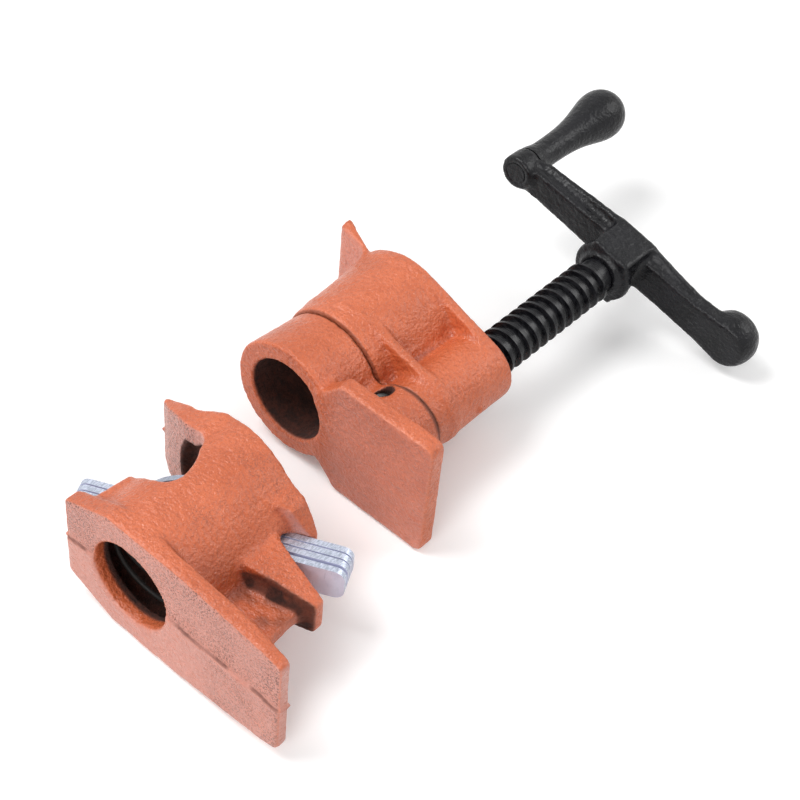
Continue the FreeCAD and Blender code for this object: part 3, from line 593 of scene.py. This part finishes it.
def tail_dark(points, normals):
    """Painted shade in the hollow beside the plates and in the foot's pocket, and a dark parting
    line.
    """
    x, y, z = (points - TAIL).T
    z = np.abs(z)
    # Painted shade on the walls of the hollow beside the plates, and in its corner.
    wall = fade(-normals[:, 1], 0.15, 0.6) * band(x, 17, 21, 42, 48) * band(y, 17, 20, 30, 32)
    wall *= 0.85 * fade(smooth_noise(points, 4.0, 31) + fade(-z, -9, -4), -0.2, 0.6)
    corner = 0.5 * band(x, 15, 19, 40, 46) * band(y, 11, 17, 24, 28) * fade(-z, -6.5, -3.5)
    corner *= fade(smooth_noise(points, 3.5, 33), -0.2, 0.5)
    # Painted shade: the foot's pocket is painted nearly black.
    pocket = band(-x, 9, 12, 23, 25) * band(y, 24.5, 25.5, 45.5, 46.5) * fade(12.6 - z, 0.0, 0.8)
    pocket *= 1 - fade(-normals[:, 0], 0.12, 0.25) * fade(-normals[:, 1], 0.6, 0.8)
    foot_side = fade(-x, 15, 18)
    tip_side = fade(x, 14, 20) * fade(smooth_noise(points, 3.0, 35), -0.9, 0.3)
    line = 0.7 * np.exp(-((tail_parting(points) - 0.15) / 0.5) ** 4)
    line *= tail_front(points, normals) * np.maximum(foot_side, tip_side)
    return np.clip(wall + corner + 0.95 * pocket + line, 0, 1)


def jaw_sheen(points, normals):
    """Painted sheen on the jaw plate's face and end."""
    x, y, z = points.T
    face = fade(-normals[:, 1], 0.6, 0.95) * fade(-y, -1.5, -0.5)
    end = fade(normals[:, 0], 0.7, 0.95) * fade(x, 62, 64)
    return np.clip(0.30 * face * fade(x, 14, 22) + 0.50 * end, 0, 1)


def head_sheen(points, normals):
    """Painted sheen on the head's wing, and on its side towards the tips."""
    x, y, z = points.T
    return 0.35 * fade(-normals[:, 1], 0.4, 0.9) * fade(-x, 18, 21)


def head_relief(points, normals):
    """Sand grain, and the gate's stub on the side."""
    away = np.linalg.norm((points - NIB) / NIB_SIZE, axis=1)
    return sand_grain(points, normals) + 0.9 * fade(1.2 - away, 0.0, 0.9)


def gap_shade(points, normals):
    """Painted shade along the narrow gap between the jaw and the head, widest at the screw's boss.
    """
    x, y, z = points.T
    boss = fade(x, 16, 26)
    front = JAW_BACK - 0.8 - 0.5 * boss
    back = HEAD_FRONT + 0.5 + 0.5 * boss
    return (0.55 + 0.25 * boss) * fade(y, front, front + 0.4) * fade(-y, -back, 0.3 - back)


def make_skins():
    """The four castings' surfaces, and the knob and rivet that are painted like the crank."""
    orange = orange_paint()
    black = black_enamel()
    pipe = ((0, 0, 0), ALONG, PIPE_BORE + 1)
    head = cast_skin("head_casting", "head", 1.5, 0.4, [], head_relief,
                     inside=[(*pipe, 19, 60), ((SCREW_X, 0, 0), ALONG, SCREW_WALL, 19, 60)],
                     dark=gap_shade, pale=head_sheen)
    jaw = cast_skin("moving_jaw", "jaw", 1.5, 0.4, [(JAW_PIN, UP, PIN_HOLE)],
                    sand_grain,
                    inside=[(*pipe, 0.0, 25), (JAW_PIN, UP, PIN_HOLE + 0.6, 3, 40)],
                    dark=gap_shade, pale=jaw_sheen)
    tail = cast_skin("tail_jaw_casting", "tail", 2.5, 0.6, [], tail_relief,
                     tail_worn,
                     inside=[(TAIL, ALONG, TAIL_HUB, 5.0, 44),
                             (TAIL, ALONG, PIPE_BORE + 1, 3.0, 60)],
                     dark=tail_dark, pale=tail_sheen)
    for skin in (head, jaw, tail):
        skin.data.materials.append(orange)
    crank = cast_skin("crank_casting", "screw_and_crank", 1.2, 0.5, [], sand_grain)
    crank.data.materials.append(black)
    finish_node("crank_knob", black)
    finish_node("knob_rivet", black)


def finish_node(node, material):
    """A CAD node that keeps its shape gets this material."""
    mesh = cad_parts[node].data
    mesh.materials.clear()
    mesh.materials.append(material)


make_camera()
make_floor()
make_lamps()
make_room()
make_skins()
finish_node("screw", screw_black())
zinc = zinc_plate()
for number in range(1, 5):
    finish_node(f"clutch_plate_{number}", zinc)
steel = plain_steel("pin_steel", 0.20)
finish_node("jaw_retaining_pin", steel)
finish_node("crank_cross_pin", steel)
finish_node("clutch_spring", spring_wire())

bpy.context.scene.view_settings.view_transform = "Standard"
